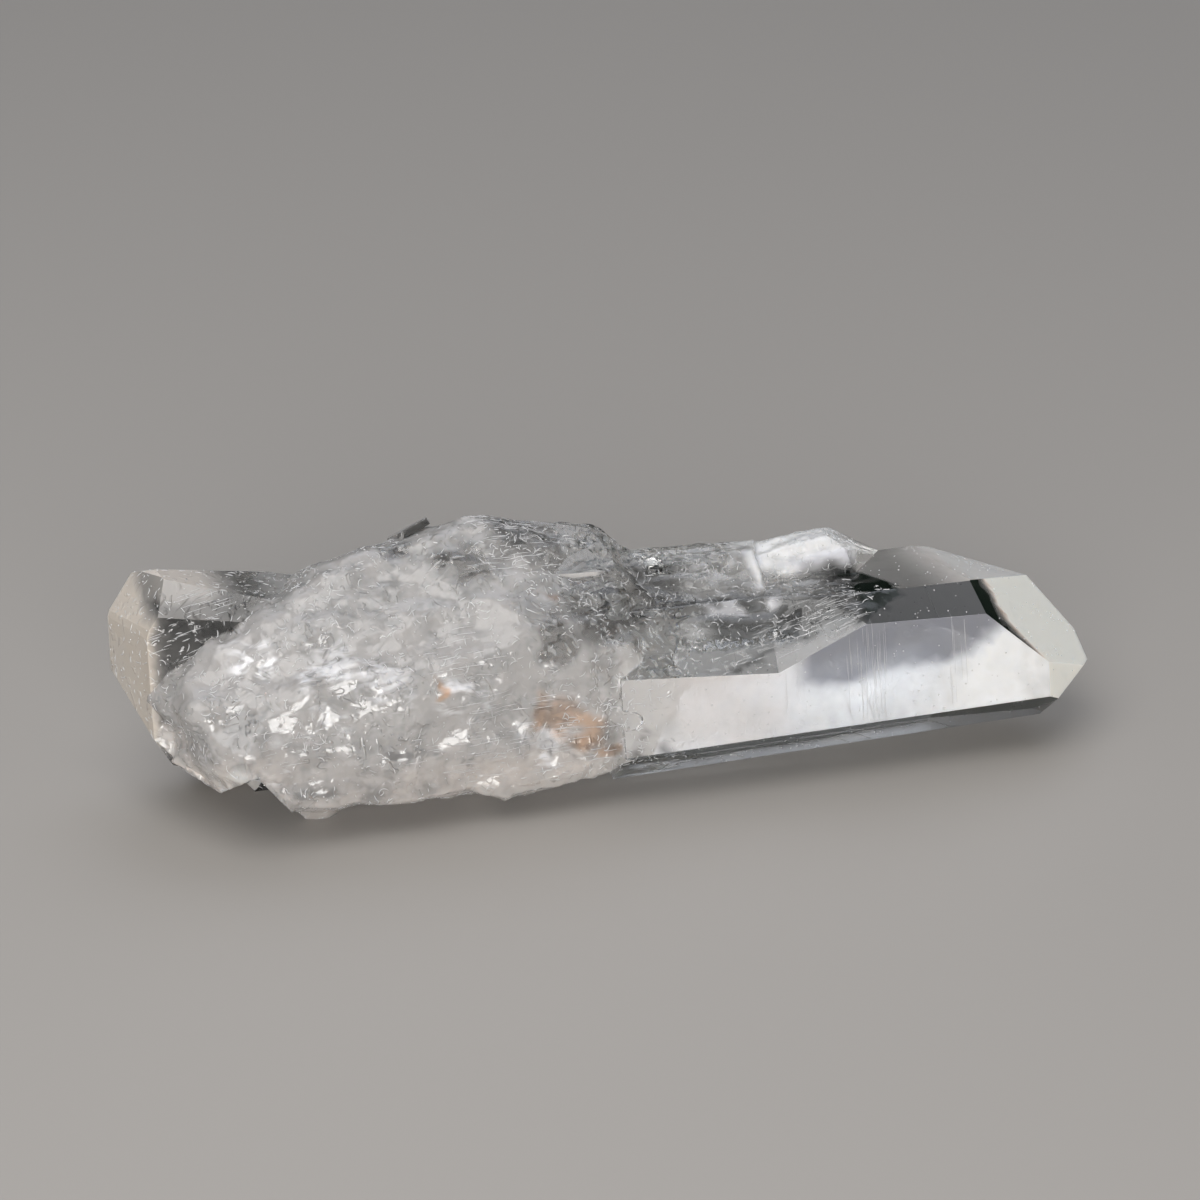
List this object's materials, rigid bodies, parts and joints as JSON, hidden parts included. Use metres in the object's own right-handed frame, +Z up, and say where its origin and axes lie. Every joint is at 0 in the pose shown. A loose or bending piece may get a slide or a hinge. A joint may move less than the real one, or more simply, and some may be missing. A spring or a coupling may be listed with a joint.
{
  "type": "quartz crystal",
  "caption": "Clear six-sided quartz point lying on its side, with parallel growths, a rough milky root and a short stub crystal.",
  "frame": {"origin": "middle of the bounding box's underside, on the table that the crystal lies on", "axes": "+X along the crystal's long axis towards its point, +Y towards the back, where the stub leans out, +Z up"},
  "size_m": [0.0996, 0.0238, 0.027],
  "materials": {
    "quartz": "clear, glossy quartz on the point, turning milky and finely etched towards the root",
    "veil": "white etch ridges, growth lines and small grains on the skin of the quartz"
  },
  "bodies": {
    "root": {"quartz_crystal": "quartz"}
  },
  "joints": []
}
